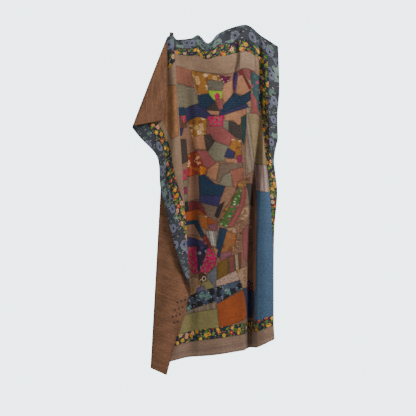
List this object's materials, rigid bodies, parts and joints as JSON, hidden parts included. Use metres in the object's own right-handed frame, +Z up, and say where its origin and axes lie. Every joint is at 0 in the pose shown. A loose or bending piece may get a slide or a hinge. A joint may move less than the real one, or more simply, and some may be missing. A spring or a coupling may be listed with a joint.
{
  "type": "kantha quilt hung from two points",
  "caption": "Pieced kantha quilt hung from two points on its top edge, with folded left side, flowered and printed borders and a plain brown back",
  "frame": {"origin": "on the middle of the cloth's thickness, 10 mm below the peak of the top hem, where the right-hand point holds it", "axes": "+Z up, +X to the viewer's right along the hung cloth, -Y out of the pieced front toward the viewer"},
  "size_m": [1.0323, 0.1876, 2.4715],
  "materials": {
    "brown_cotton": "matt plain-weave cotton with rows of running stitch",
    "pieced_cotton": "matt cotton patches, plain and printed, with rows of running stitch",
    "flowered_cotton": "matt cotton printed with small flowers on a dark ground",
    "slate_print_cotton": "matt slate cotton with pale discs and dashes",
    "tan_cotton": "matt tan cotton with faint grey stripes"
  },
  "bodies": {
    "root": {"backing": "brown_cotton", "patchwork_panel": "pieced_cotton", "floral_border_top": "flowered_cotton", "floral_border_left": "flowered_cotton", "floral_border_right": "flowered_cotton", "floral_border_bottom": "flowered_cotton", "print_border_top": "slate_print_cotton", "print_border_left": "slate_print_cotton", "print_border_right": "slate_print_cotton", "hem_band_bottom": "tan_cotton"}
  },
  "joints": []
}
